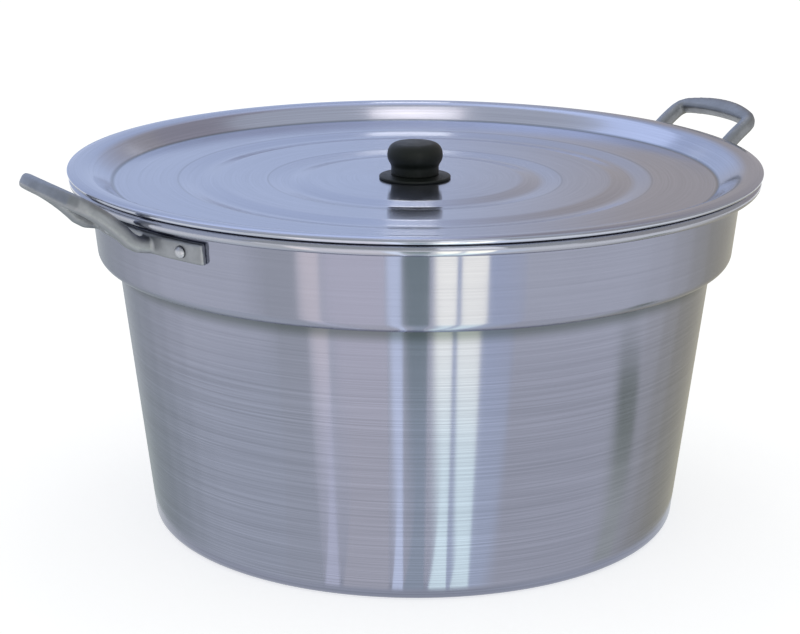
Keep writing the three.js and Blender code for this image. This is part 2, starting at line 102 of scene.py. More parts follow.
class PotSizes(bpy.types.PropertyGroup):
    """Sizes of the spun pot."""

    sheet: length("Sheet", "Thickness of the pot's sheet", 0.0025)
    base_radius: length("Base radius", "Radius where the wall's line meets the base", 0.206)
    base_corner: length("Base corner", "Outer radius between base and wall", 0.008)
    body_height: length("Body height", "Height of the shoulder's underside", 0.21)
    body_top_radius: length("Body top radius", "Radius of the body under the shoulder", 0.2306)
    neck_round: length("Neck radius", "Inner corner under the shoulder", 0.002)
    collar_foot_radius: length("Collar foot radius", "Radius of the collar at the shoulder", 0.245)
    shoulder_round: length("Shoulder radius", "Outer corner of the shoulder", 0.0085)
    collar_top_radius: length("Collar top radius", "Radius of the collar under the lip", 0.2516)
    flare_round: length("Flare radius", "Curve from the collar into the lip", 0.0075)
    bead_radius: length("Bead radius", "Radius of the rolled rim", 0.0042)
    hand_wave: length("Hand wave", "How far the spun wall strays from a true circle", 0.00007)


class LidSizes(bpy.types.PropertyGroup):
    """Sizes of the spun lid; heights are from the underside of its hem."""

    sheet: length("Sheet", "Thickness of the lid's sheet", 0.002)
    hem_radius: length("Hem radius", "Radius of the rolled hem", 0.002)
    crest_rise: length("Crest rise", "Height of the flange's crest", 0.0045)
    crest_outer: length("Crest outer edge", "Width of the slope from the crest down to the hem", 0.0055)
    crest_width: length("Crest width", "Width of the flange's crest", 0.0085)
    crest_round: length("Crest radius", "Curve at the crest's outer edge", 0.008)
    slope_round: length("Slope radius", "Curve from the crest into the flange's inner slope", 0.022)
    crease_radius: length("Crease radius", "Radius of the crease between flange and panel", 0.2331)
    crease_round: length("Crease rounding", "Curve in the crease", 0.004)
    panel_drop: length("Panel drop", "Depth of the panel below the hem", 0.0085)
    panel_width: length("Panel width", "Width of the flat panel inside the crease", 0.05)
    groove_width: length("Groove width", "Width of both pressed grooves", 0.031)
    groove_round: length("Groove rounding", "Curve in the grooves and at their edges", 0.03)
    outer_depth: length("Outer groove depth", "Fall from the panel into the outer groove", 0.0028)
    outer_return: length("Outer groove return", "Rise from the outer groove to the band", 0.0018)
    band_width: length("Band width", "Width of the band between the grooves", 0.038)
    band_fall: length("Band fall", "Fall of the band towards the middle", 0.0014)
    inner_depth: length("Inner groove depth", "Fall from the disc into the inner groove", 0.002)
    bore_radius: length("Bore radius", "Radius of the screw's hole", 0.0033)


class KnobSizes(bpy.types.PropertyGroup):
    """Sizes of the moulded knob and of its screw."""

    neck_radius: length("Neck radius", "Radius of the knob's straight neck", 0.0185)
    neck_height: length("Neck height", "Height of the straight neck", 0.0055)
    widest_height: length("Widest height", "Height of the head's widest ring", 0.0147)
    crown_radius: length("Crown radius", "Radius where the head turns over into the crown", 0.014)
    crown_drop: length("Crown drop", "Fall of the crown from its middle to that radius", 0.0011)
    guard_edge: length("Guard edge", "Rounding of the heat guard's edge", 0.0008)
    screw_slot: length("Screw slot", "Width and depth of the screw's slot", 0.0016)
    screw_head_edge: length("Screw head edge", "Straight height of the screw's head", 0.0016)
    screw_radius: length("Screw radius", "Radius of the screw's shank", 0.003)
    screw_head_height: length("Screw head height", "Full height of the screw's head", 0.0036)


class HandleSizes(bpy.types.PropertyGroup):
    """Sizes of the cast handles' surface and of their rivets."""

    skin: length("Skin", "Spacing of the casting's surface points", 0.0009)
    tumbling: bpy.props.IntProperty(
        name="Tumbling", description="Rounds of smoothing that the casting's edges get", default=14, min=0
    )
    rivet_height: length("Rivet height", "Height of the rivets", 0.255)
    rivet_inner: length("Inner rivet", "Length along the collar from the handle's middle", 0.014)
    rivet_outer: length("Outer rivet", "Length along the collar from the handle's middle", 0.078)
    rivet_shank: length("Rivet shank", "Radius of the rivet's shank", 0.0024)
    rivet_head: length("Rivet head", "Radius of the rivet's head", 0.0045)
    rivet_dome: length("Rivet dome", "Height of the rivet's domed head", 0.0024)
    rivet_seat: length("Rivet seat", "Distance from the collar to the strap's outer face", 0.0049)
    rivet_tail: length("Rivet tail", "Thickness of the closed head inside the pot", 0.0015)


class FinishColours(bpy.types.PropertyGroup):
    """Colours of the finishes and of the lamp."""

    # Pot and lid are one metal: the lid's lighter, bluer pair is painted light and the pot's darker pair
    # painted shade.
    pot_light: colour("Pot, bright lines", "Spun aluminium where the tool has burnished it", "9EA1B3")
    pot_dark: colour("Pot, dull lines", "Spun aluminium between the tool's passes", "8C8F9F")
    # Also the colour of the painted highlight on the rim's bead.
    pot_inside_and_rim_highlight: colour("Pot, inside", "Spun aluminium inside the pot, washed bright", "CED0D6")
    # Painted shade: darkens the angle under the shoulder and the lid's creases, where shade falls.
    black: colour("Painted shade", "Painted shade left in corners and creases", "5F6668")
    lid_light: colour("Lid, bright lines", "Lid aluminium where the tool has burnished it", "C0C4D2")
    lid_dark: colour("Lid, dull lines", "Lid aluminium between the tool's passes", "B4B8C6")
    cast_light: colour("Casting, worn", "Cast aluminium on worn edges", "A9ACB2")
    cast_dark: colour("Casting, skin", "Cast aluminium on its grey skin", "898C91")
    rivet: colour("Rivets", "Headed aluminium", "B9BBC2")
    phenolic: colour("Phenolic", "Moulded black phenolic", "0B140D")
    phenolic_dust: colour("Phenolic, rubbed", "Phenolic where hands have dulled it", "141B14")
    zinc: colour("Zinc plate", "Zinc plate on steel", "AEB2B8")
    brass: colour("Brass", "Turned brass", "B8954F")
    floor: colour("Floor", "Pale studio paper", "F1F1EF")
    lamp: colour("Soft box", "Warm white light of the soft box", "FFF2E8")


class StudioSettings(bpy.types.PropertyGroup):
    """Floor, light and camera of the studio."""

    view_turn: turning("View turn", "Camera's turn about the pot from the front", math.radians(32.2))
    view_distance: length("View distance", "Level distance of the camera from the pot's axis", 1.60408)
    view_side: length("View side", "Sideways place of the camera, to its right", -0.01122)
    view_height: length("View height", "Height of the camera", 0.60471)
    view_pitch: turning("View pitch", "Downward tilt of the camera", 0.27407)
    view_roll: turning("View roll", "Roll of the camera", 0.00339)
    lens: bpy.props.FloatProperty(
        name="Lens", description="Focal length on a 36 mm wide sensor", default=94.72,
        subtype="DISTANCE_CAMERA"
    )
    room_light: share("Room light", "Strength of the room's soft light", 0.55)
    paper_lift: share("Paper lift", "How far the floor's paper is lifted to white where it is seen", 0.6)
    floor_size: length("Floor size", "Half the floor's width", 15.0)
    lamp_size: length("Lamp size", "Width of the square soft box over the pot", 0.34)
    lamp_behind: length("Lamp behind", "Level distance of the soft box behind the pot's axis", 0.6)
    lamp_height: length("Lamp height", "Height of the soft box", 2.2)
    lamp_power: bpy.props.FloatProperty(
        name="Lamp power", description="Power of the soft box", default=0.74, min=0,
        subtype="POWER", unit="POWER"
    )


# Profiles, as points of radius and height

# The widest turn between two points of an arc, and the fewest parts that an arc has
ARC_STEP = math.radians(7)
ARC_PARTS = 6


def arc(centre, radius, start, end):
    """Points on an arc, anticlockwise where end is larger."""
    steps = max(ARC_PARTS, math.ceil(abs(end - start) / ARC_STEP))
    turns = [start + (end - start) * i / steps for i in range(steps + 1)]
    return [Vector((centre[0] + radius * math.cos(t), centre[1] + radius * math.sin(t))) for t in turns]


def rounded(corners):
    """The outline through corners (radius, height, rounding), with an arc at each rounded corner."""
    points = []
    for i, (r, z, rounding) in enumerate(corners):
        here = Vector((r, z))
        if not rounding:
            points.append(here)
            continue
        back = (Vector(corners[i - 1][:2]) - here).normalized()
        ahead = (Vector(corners[i + 1][:2]) - here).normalized()
        half = back.angle(ahead) / 2
        centre = here + (back + ahead).normalized() * (rounding / math.sin(half))
        first = here + back * (rounding / math.tan(half)) - centre
        start = math.atan2(first.y, first.x)
        turn = math.copysign(math.pi - 2 * half, ahead.x * back.y - ahead.y * back.x)
        points += arc(centre, rounding, start, start + turn)
    return points


def offset(corners, distance):
    """The same corners moved sideways by a sheet's thickness, to the left of the way they run."""
    ends = [Vector(c[:2]) for c in corners]
    ways = [(b - a).normalized() for a, b in zip(ends, ends[1:])]
    shifts = [Vector((-w.y, w.x)) * distance for w in ways]
    moved = [(*(ends[0] + shifts[0]), 0)]
    for i in range(1, len(corners) - 1):
        cross = ways[i - 1].x * ways[i].y - ways[i - 1].y * ways[i].x
        gap = ends[i] + shifts[i] - ends[i - 1] - shifts[i - 1]
        along = (gap.x * ways[i].y - gap.y * ways[i].x) / cross
        corner = ends[i - 1] + shifts[i - 1] + ways[i - 1] * along
        moved.append((corner.x, corner.y, corners[i][2] - math.copysign(1, cross) * distance))
    moved.append((*(ends[-1] + shifts[-1]), 0))
    return moved


def refined(points, longest):
    """The same outline with long straight runs split, so that a surface can stray from true along them."""
    made = [points[0]]
    for a, b in zip(points, points[1:]):
        parts = max(1, math.ceil((b - a).length / longest))
        made += [a.lerp(b, i / parts) for i in range(1, parts + 1)]
    return made


def bezier(*points, steps=14):
    """A smooth run through points given as (end, handle, handle, end) in radius and height."""
    run = geometry.interpolate_bezier(*(Vector((p[0], p[1], 0)) for p in points), steps)
    return [Vector((p.x, p.y)) for p in run]


# Meshes

# Points round each kind of turned piece
AROUND_SHEET = 320
AROUND_KNOB = 96
AROUND_SCREW = 64
AROUND_RIVET = 40
# The longest straight run in the outline of the pot and of the lid
POT_RUN = 0.006
LID_RUN = 0.008
# A hand-spun wall strays by smooth noise: its scale round the pot, and its scale per metre of height
STRAY_AROUND = 4
STRAY_UP = 11
# Faces that meet at a wider angle than this keep a sharp edge
SHARP_ANGLE = math.radians(42)


def revolve(name, profile, around, closed=False, wave=0.0):
    """A piece turned about Z from a profile that closes on the axis or on itself."""
    axis_limit = 1e-7
    vertices, rings = [], []
    for r, z in profile:
        if r < axis_limit:
            rings.append([len(vertices)] * around)
            vertices.append((0, 0, z))
            continue
        ring = []
        for k in range(around):
            angle = 2 * math.pi * k / around
            x, y = math.cos(angle), math.sin(angle)
            stray = wave * noise.noise(Vector((STRAY_AROUND * x, STRAY_AROUND * y, STRAY_UP * z)))
            ring.append(len(vertices))
            vertices.append(((r + stray) * x, (r + stray) * y, z))
        rings.append(ring)
    faces = []
    pairs = list(zip(rings, rings[1:])) + ([(rings[-1], rings[0])] if closed else [])
    for lower, upper in pairs:
        for k in range(around):
            m = (k + 1) % around
            corners = [lower[k], lower[m], upper[m], upper[k]]
            faces.append([c for i, c in enumerate(corners) if c not in corners[:i]])
    return new_piece(name, vertices, faces)


def new_piece(name, vertices, faces):
    """A smooth-shaded mesh object in the scene."""
    mesh = bpy.data.meshes.new(name)
    mesh.from_pydata(vertices, [], faces)
    mesh.validate()
    mesh.shade_smooth()
    mesh.set_sharp_from_angle(angle=SHARP_ANGLE)
    piece = bpy.data.objects.new(name, mesh)
    bpy.context.scene.collection.objects.link(piece)
    return piece


def settle(piece):
    """Makes a piece's modifiers part of its mesh."""
    graph = bpy.context.evaluated_depsgraph_get()
    mesh = bpy.data.meshes.new_from_object(piece.evaluated_get(graph))
    piece.modifiers.clear()
    piece.data = mesh


def fit_out(piece, body, slot, finish, *nodes):
    """Gives a piece its finish, the body that it moves with and the solids that it stands for."""
    piece.data.materials.clear()
    piece.data.materials.append(finish)
    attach(piece, body)
    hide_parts(*nodes)


# Materials

def add(tree, kind, sockets=None, **settings):
    """Adds a node with its settings, and sets or links its sockets."""
    node = tree.nodes.new(kind)
    for key, value in settings.items():
        setattr(node, key, value)
    for key, value in (sockets or {}).items():
        if isinstance(value, bpy.types.NodeSocket):
            tree.links.new(value, node.inputs[key])
        else:
            node.inputs[key].default_value = value
    return node


def blank(name):
    """An empty node material with its output."""
    material = bpy.data.materials.new(name)
    material.use_nodes = True
    material.node_tree.nodes.clear()
    return material, material.node_tree, add(material.node_tree, "ShaderNodeOutputMaterial")


def turned_lines(tree, pitch, strokes, detail):
    """Noise drawn out along the lathe's turn: lines at a pitch in metres, broken into strokes."""
    place = add(tree, "ShaderNodeTexCoord").outputs["Object"]
    level = add(tree, "ShaderNodeVectorMath", {0: place, 1: (1, 1, 0)}, operation="MULTIPLY").outputs[0]
    out = add(tree, "ShaderNodeVectorMath", {0: level}, operation="LENGTH").outputs["Value"]
    around = add(tree, "ShaderNodeVectorMath", {0: level}, operation="NORMALIZE").outputs[0]
    turn = strokes / (2 * math.pi)
    spread = add(
        tree, "ShaderNodeVectorMath", {0: around, 1: (turn, turn, 0)}, operation="MULTIPLY"
    ).outputs[0]
    rise = add(
        tree, "ShaderNodeVectorMath", {0: place, 1: (0, 0, 1 / pitch)}, operation="MULTIPLY"
    ).outputs[0]
    where = add(tree, "ShaderNodeVectorMath", {0: spread, 1: rise}, operation="ADD").outputs[0]
    depth = add(tree, "ShaderNodeMath", {0: out, 1: 1 / pitch}, operation="MULTIPLY").outputs[0]
    return add(tree, "ShaderNodeTexNoise", {
        "Vector": where, "W": depth, "Scale": 1.0, "Detail": detail, "Roughness": 0.6,
    }, noise_dimensions="4D").outputs["Fac"]


def spun_aluminium(
    name, light, dark, black, roughness, grain, smooth_from=None, bright_from=None, inside=None, creases=()
):
    """Spun aluminium, burnished on the lathe.

    The tool leaves rings round the axis, so light is drawn out across them: streaks run up a wall and fan
    out on a disc. grain is the anisotropy of that. Above the height smooth_from the rings are rubbed down,
    and just below it the colour black is painted in as shade in the angle under the shoulder. Painted shade
    of that colour also lies in creases, each given as its radius, its reach and the share of shade. Faces
    that look towards the axis take the colour inside, which washing keeps bright, and so does, in part, the
    rim above the height bright_from, as a painted highlight on the bead.
    """
    material, tree, output = blank(name)
    place = add(tree, "ShaderNodeTexCoord").outputs["Object"]
    height = add(tree, "ShaderNodeSeparateXYZ", {"Vector": place}).outputs["Z"]
    # Real tool marks are about 0.3 mm apart; they are drawn 0.9 mm apart, so that they show in the render.
    fine = turned_lines(tree, pitch=0.0009, strokes=9, detail=1.0)
    # Passes of the tool leave broader bands of about 9 mm.
    coarse = turned_lines(tree, pitch=0.009, strokes=5, detail=2.0)
    # Handling leaves dull clouds about 70 mm across.
    cloud_size = 0.07
    cloud = add(tree, "ShaderNodeTexNoise", {
        "Vector": place, "Scale": 1 / cloud_size, "Detail": 4.0, "Roughness": 0.55,
    }).outputs["Fac"]
    lines = add(tree, "ShaderNodeMix", {"Factor": 0.12, "A": fine, "B": coarse}).outputs["Result"]
    if smooth_from:
        rubbed_below = 0.06
        lines_left = 0.35
        rubbed = add(tree, "ShaderNodeMapRange", {
            "Value": height, "From Min": smooth_from - rubbed_below, "From Max": smooth_from,
            "To Min": 1.0, "To Max": lines_left,
        }).outputs["Result"]
        lines = add(tree, "ShaderNodeMix", {"Factor": rubbed, "A": 0.5, "B": lines}).outputs["Result"]
    shade = add(
        tree, "ShaderNodeMapRange", {"Value": lines, "From Min": 0.32, "From Max": 0.68}
    ).outputs["Result"]
    metal = add(
        tree, "ShaderNodeMix", {"Factor": shade, "A": dark, "B": light}, data_type="RGBA"
    ).outputs["Result"]
    # Painted shade: black darkens the angle just under the shoulder, where shade falls.
    if smooth_from:
        black_start = smooth_from - 0.014
        black_full = smooth_from - 0.003
        black_end = smooth_from + 0.001
        black_share = 0.8
        nearing = add(tree, "ShaderNodeMapRange", {
            "Value": height, "From Min": black_start, "From Max": black_full,
        }, interpolation_type="SMOOTHSTEP").outputs["Result"]
        below = add(tree, "ShaderNodeMath", {0: height, 1: black_end}, operation="LESS_THAN").outputs[0]
        angle = add(tree, "ShaderNodeMath", {0: nearing, 1: below}, operation="MULTIPLY").outputs[0]
        shoulder_shade = add(tree, "ShaderNodeMath", {0: angle, 1: black_share}, operation="MULTIPLY").outputs[0]
        metal = add(
            tree, "ShaderNodeMix", {"Factor": shoulder_shade, "A": metal, "B": black}, data_type="RGBA"
        ).outputs["Result"]
    level = add(tree, "ShaderNodeVectorMath", {0: place, 1: (1, 1, 0)}, operation="MULTIPLY").outputs[0]
    out = add(tree, "ShaderNodeVectorMath", {0: level}, operation="LENGTH").outputs["Value"]
    # The rim above bright_from takes part of the inside colour as a painted highlight on the bead.
    if inside and bright_from:
        inside_share = 0.85
        inside_edge = 0.02
        rim_share = 0.4
        rim_edge = 0.001
        facing = add(tree, "ShaderNodeNewGeometry").outputs["Normal"]
        outward = add(
            tree, "ShaderNodeVectorMath", {0: facing, 1: level}, operation="DOT_PRODUCT"
        ).outputs["Value"]
        within = add(tree, "ShaderNodeMapRange", {
            "Value": outward, "From Min": inside_edge, "From Max": -inside_edge, "To Max": inside_share,
        }).outputs["Result"]
        rim = add(tree, "ShaderNodeMapRange", {
            "Value": height, "From Min": bright_from - rim_edge, "From Max": bright_from + rim_edge,
            "To Max": rim_share,
        }).outputs["Result"]
        bright = add(tree, "ShaderNodeMath", {0: within, 1: rim}, operation="MAXIMUM").outputs[0]
        metal = add(
            tree, "ShaderNodeMix", {"Factor": bright, "A": metal, "B": inside}, data_type="RGBA"
        ).outputs["Result"]
    # Painted shade: black darkens each crease and groove edge, where shade falls.
    for radius, reach, kept in creases:
        apart = add(tree, "ShaderNodeMath", {0: out, 1: radius}, operation="SUBTRACT").outputs[0]
        away = add(tree, "ShaderNodeMath", {0: apart}, operation="ABSOLUTE").outputs[0]
        crease_shade = add(tree, "ShaderNodeMapRange", {
            "Value": away, "From Min": 0.0, "From Max": reach, "To Min": kept, "To Max": 0.0,
        }, interpolation_type="SMOOTHSTEP").outputs["Result"]
        metal = add(
            tree, "ShaderNodeMix", {"Factor": crease_shade, "A": metal, "B": black}, data_type="RGBA"
        ).outputs["Result"]
    dulling = 0.03
    dull = add(tree, "ShaderNodeMapRange", {
        "Value": cloud, "From Min": 0.3, "From Max": 0.7,
        "To Min": roughness - dulling, "To Max": roughness + dulling,
    }).outputs["Result"]
    ridge = add(
        tree, "ShaderNodeBump", {"Strength": 0.3, "Distance": 0.00003, "Height": lines}
    ).outputs["Normal"]
    tangent = add(tree, "ShaderNodeTangent", direction_type="RADIAL", axis="Z").outputs["Tangent"]
    shader = add(tree, "ShaderNodeBsdfPrincipled", {
        "Base Color": metal, "Metallic": 1.0, "Roughness": dull, "Anisotropic": grain,
        "Anisotropic Rotation": 0.25, "Normal": ridge, "Tangent": tangent,
    })
    tree.links.new(shader.outputs["BSDF"], output.inputs["Surface"])
    return material


def cast_aluminium(name, light, dark):
    """Sand-cast aluminium, tumbled: a grey, slightly pitted skin that is brighter on its worn edges."""
    material, tree, output = blank(name)
    place = add(tree, "ShaderNodeTexCoord").outputs["Object"]
    # The sand leaves grains of about 0.8 mm, drawn at 1.4 mm so that they show.
    grain_size = 0.0014
    grain = add(tree, "ShaderNodeTexNoise", {
        "Vector": place, "Scale": 1 / grain_size, "Detail": 3.0, "Roughness": 0.6,
    }).outputs["Fac"]
    # Tumbling leaves patches of about 12 mm.
    patch_size = 0.012
    patch = add(
        tree, "ShaderNodeTexNoise", {"Vector": place, "Scale": 1 / patch_size, "Detail": 3.0}
    ).outputs["Fac"]
    edge = add(tree, "ShaderNodeNewGeometry").outputs["Pointiness"]
    worn = add(
        tree, "ShaderNodeMapRange", {"Value": edge, "From Min": 0.49, "From Max": 0.58}
    ).outputs["Result"]
    mottle = add(
        tree, "ShaderNodeMapRange", {"Value": patch, "From Min": 0.3, "From Max": 0.75, "To Max": 0.6}
    ).outputs["Result"]
    shade = add(tree, "ShaderNodeMath", {0: worn, 1: mottle}, operation="MAXIMUM").outputs[0]
    metal = add(
        tree, "ShaderNodeMix", {"Factor": shade, "A": dark, "B": light}, data_type="RGBA"
    ).outputs["Result"]
    rough = add(tree, "ShaderNodeMapRange", {
        "Value": grain, "From Min": 0.3, "From Max": 0.7, "To Min": 0.36, "To Max": 0.5,
    }).outputs["Result"]
    pits = add(
        tree, "ShaderNodeBump", {"Strength": 0.5, "Distance": 0.0002, "Height": grain}
    ).outputs["Normal"]
    shader = add(tree, "ShaderNodeBsdfPrincipled", {
        "Base Color": metal, "Metallic": 1.0, "Roughness": rough, "Normal": pits,
    })
    tree.links.new(shader.outputs["BSDF"], output.inputs["Surface"])
    return material


def headed_aluminium(name, tint):
    """Cold-headed aluminium: a bright satin dome with small dents from the rivet set."""
    material, tree, output = blank(name)
    place = add(tree, "ShaderNodeTexCoord").outputs["Object"]
    # The set leaves dents of about 1.5 mm.
    dent_size = 0.0015
    dents = add(
        tree, "ShaderNodeTexNoise", {"Vector": place, "Scale": 1 / dent_size, "Detail": 2.0}
    ).outputs["Fac"]
    rough = add(tree, "ShaderNodeMapRange", {
        "Value": dents, "From Min": 0.3, "From Max": 0.7, "To Min": 0.24, "To Max": 0.4,
    }).outputs["Result"]
    bump = add(
        tree, "ShaderNodeBump", {"Strength": 0.4, "Distance": 0.0002, "Height": dents}
    ).outputs["Normal"]
    shader = add(tree, "ShaderNodeBsdfPrincipled", {
        "Base Color": tint, "Metallic": 1.0, "Roughness": rough, "Normal": bump,
    })
    tree.links.new(shader.outputs["BSDF"], output.inputs["Surface"])
    return material


def moulded_phenolic(name, clean, rubbed):
    """Compression-moulded phenolic: deep black with a low gloss, dulled a little by hands."""
    material, tree, output = blank(name)
    place = add(tree, "ShaderNodeTexCoord").outputs["Object"]
    # Handling dulls it in patches of about 9 mm; moulding leaves a ripple of about 2 mm.
    patch_size = 0.009
    ripple_size = 0.002
    patch = add(tree, "ShaderNodeTexNoise", {
        "Vector": place, "Scale": 1 / patch_size, "Detail": 4.0, "Roughness": 0.6,
    }).outputs["Fac"]
    ripple = add(
        tree, "ShaderNodeTexNoise", {"Vector": place, "Scale": 1 / ripple_size, "Detail": 2.0}
    ).outputs["Fac"]
    wear = add(
        tree, "ShaderNodeMapRange", {"Value": patch, "From Min": 0.45, "From Max": 0.75}
    ).outputs["Result"]
    black = add(
        tree, "ShaderNodeMix", {"Factor": wear, "A": clean, "B": rubbed}, data_type="RGBA"
    ).outputs["Result"]
    rough = add(tree, "ShaderNodeMapRange", {
        "Value": patch, "From Min": 0.35, "From Max": 0.7, "To Min": 0.42, "To Max": 0.54,
    }).outputs["Result"]
    bump = add(
        tree, "ShaderNodeBump", {"Strength": 0.12, "Distance": 0.0001, "Height": ripple}
    ).outputs["Normal"]
    shader = add(tree, "ShaderNodeBsdfPrincipled", {
        "Base Color": black, "Roughness": rough, "IOR": 1.5, "Specular IOR Level": 0.38, "Normal": bump,
    })
    tree.links.new(shader.outputs["BSDF"], output.inputs["Surface"])
    return material


def turned_metal(name, tint, roughness, pitch):
    """Turned fastener metal: plain plate or brass with fine rings from the cutting tool."""
    material, tree, output = blank(name)
    rings = turned_lines(tree, pitch, strokes=5, detail=2.0)
    darkening = 0.8
    polish = 0.08
    deeper = [c * darkening for c in tint[:3]] + [1.0]
    metal = add(
        tree, "ShaderNodeMix", {"Factor": rings, "A": deeper, "B": tint}, data_type="RGBA"
    ).outputs["Result"]
    rough = add(tree, "ShaderNodeMapRange", {
        "Value": rings, "To Min": roughness + polish, "To Max": roughness - polish,
    }).outputs["Result"]
    bump = add(
        tree, "ShaderNodeBump", {"Strength": 0.3, "Distance": 0.0001, "Height": rings}
    ).outputs["Normal"]
    shader = add(tree, "ShaderNodeBsdfPrincipled", {
        "Base Color": metal, "Metallic": 1.0, "Roughness": rough, "Normal": bump,
    })
    tree.links.new(shader.outputs["BSDF"], output.inputs["Surface"])
    return material


def open_rays(tree):
    """1 for rays that see the backdrop itself: from the camera, off gloss and through clear things."""
    path = add(tree, "ShaderNodeLightPath").outputs
    seen = add(
        tree, "ShaderNodeMath", {0: path["Is Camera Ray"], 1: path["Is Glossy Ray"]}, operation="MAXIMUM"
    ).outputs[0]
    return add(
        tree, "ShaderNodeMath", {0: seen, 1: path["Is Transmission Ray"]}, operation="MAXIMUM"
    ).outputs[0]


def studio_paper(name, tint, lift):
    """Pale matt paper: it takes the pot's shadow, and is lifted to white where it is seen."""
    material, tree, output = blank(name)
    place = add(tree, "ShaderNodeTexCoord").outputs["Object"]
    # Paper fibre of about 3 mm.
    fibre_size = 0.003
    fibre = add(
        tree, "ShaderNodeTexNoise", {"Vector": place, "Scale": 1 / fibre_size, "Detail": 2.0}
    ).outputs["Fac"]
    bump = add(
        tree, "ShaderNodeBump", {"Strength": 0.05, "Distance": 0.0002, "Height": fibre}
    ).outputs["Normal"]
    matt = add(tree, "ShaderNodeBsdfDiffuse", {"Color": tint, "Normal": bump}).outputs["BSDF"]
    strength = add(tree, "ShaderNodeMath", {0: open_rays(tree), 1: lift}, operation="MULTIPLY").outputs[0]
    glow = add(
        tree, "ShaderNodeEmission", {"Color": (1, 1, 1, 1), "Strength": strength}
    ).outputs["Emission"]
    both = add(tree, "ShaderNodeAddShader", {0: matt, 1: glow}).outputs["Shader"]
    tree.links.new(both, output.inputs["Surface"])
    return material


def studio_card(name, first, second, level, change, fades):
    """Evenly lit card that shows in the metal at its colour times a level.

    change is where its colour turns from the first to the second: an axis of the card, a start and an end.
    fades are the shares of its width over which it thins out at its left and at its right.
    """
    least_fade = 1e-4
    material, tree, output = blank(name)
    place = add(tree, "ShaderNodeTexCoord").outputs["UV"]
    way = add(tree, "ShaderNodeSeparateXYZ", {"Vector": place}).outputs
    axis, start, end = change
    turn = add(
        tree, "ShaderNodeMapRange", {"Value": way[axis], "From Min": start, "From Max": end}
    ).outputs["Result"]
    tint = add(tree, "ShaderNodeMix", {
        "Factor": turn, "A": linear(first), "B": linear(second),
    }, data_type="RGBA").outputs["Result"]
    glow = add(tree, "ShaderNodeEmission", {"Color": tint, "Strength": level}).outputs["Emission"]
    left = add(tree, "ShaderNodeMapRange", {
        "Value": way["X"], "From Max": max(fades[0], least_fade),
    }, interpolation_type="SMOOTHSTEP").outputs["Result"]
    right = add(tree, "ShaderNodeMapRange", {
        "Value": way["X"], "From Min": 1.0, "From Max": 1 - max(fades[1], least_fade),
    }, interpolation_type="SMOOTHSTEP").outputs["Result"]
    body = add(tree, "ShaderNodeMath", {0: left, 1: right}, operation="MULTIPLY").outputs[0]
    clear = add(tree, "ShaderNodeBsdfTransparent").outputs["BSDF"]
    both = add(tree, "ShaderNodeMixShader", {0: body, 1: clear, 2: glow}).outputs[0]
    tree.links.new(both, output.inputs["Surface"])
    return material


# Operators

class STOCKPOT_OT_spin_pot(bpy.types.Operator):
    """Spin the pot's sheet: base, tapered body, shoulder, collar, flared lip and rolled rim."""

    bl_idname = "stockpot.spin_pot"
    bl_label = "Spin the pot"

    def execute(self, context):
        size = context.scene.stockpot_pot
        colours = context.scene.stockpot_colours
        underside = POT_TOP - size.sheet
        bead = Vector((RIM_RADIUS - size.bead_radius, POT_TOP - size.bead_radius))
        outside = [
            (0, 0, 0),
            (size.base_radius, 0, size.base_corner),
            (size.body_top_radius, size.body_height, size.neck_round),
            (size.collar_foot_radius, size.body_height, size.shoulder_round),
            (size.collar_top_radius, underside, size.flare_round),
            (bead.x, underside, 0),
        ]
        # The bead starts where the lip's underside meets it and runs below and outside to its top.
        bead_start = math.pi - math.asin((underside - bead.y) / size.bead_radius)
        bead_end = 2.5 * math.pi
        # The rim is painted with a highlight down to this many of the bead's radii below its middle.
        highlight_depth = 0.6
        profile = rounded(outside)[:-1]
        profile += arc(bead, size.bead_radius, bead_start, bead_end)
        profile += rounded(offset(outside, size.sheet))[-2::-1]
        pot = revolve("pot_shell", refined(profile, POT_RUN), AROUND_SHEET, wave=size.hand_wave)
        finish = spun_aluminium(
            "spun_aluminium_wall", colours.pot_light, colours.pot_dark, colours.black,
            roughness=0.15, grain=1.0, smooth_from=size.body_height,
            bright_from=bead.y - highlight_depth * size.bead_radius, inside=colours.pot_inside_and_rim_highlight
        )
        fit_out(pot, "pot", "spun_aluminium", finish, "pot_body")
        return {"FINISHED"}


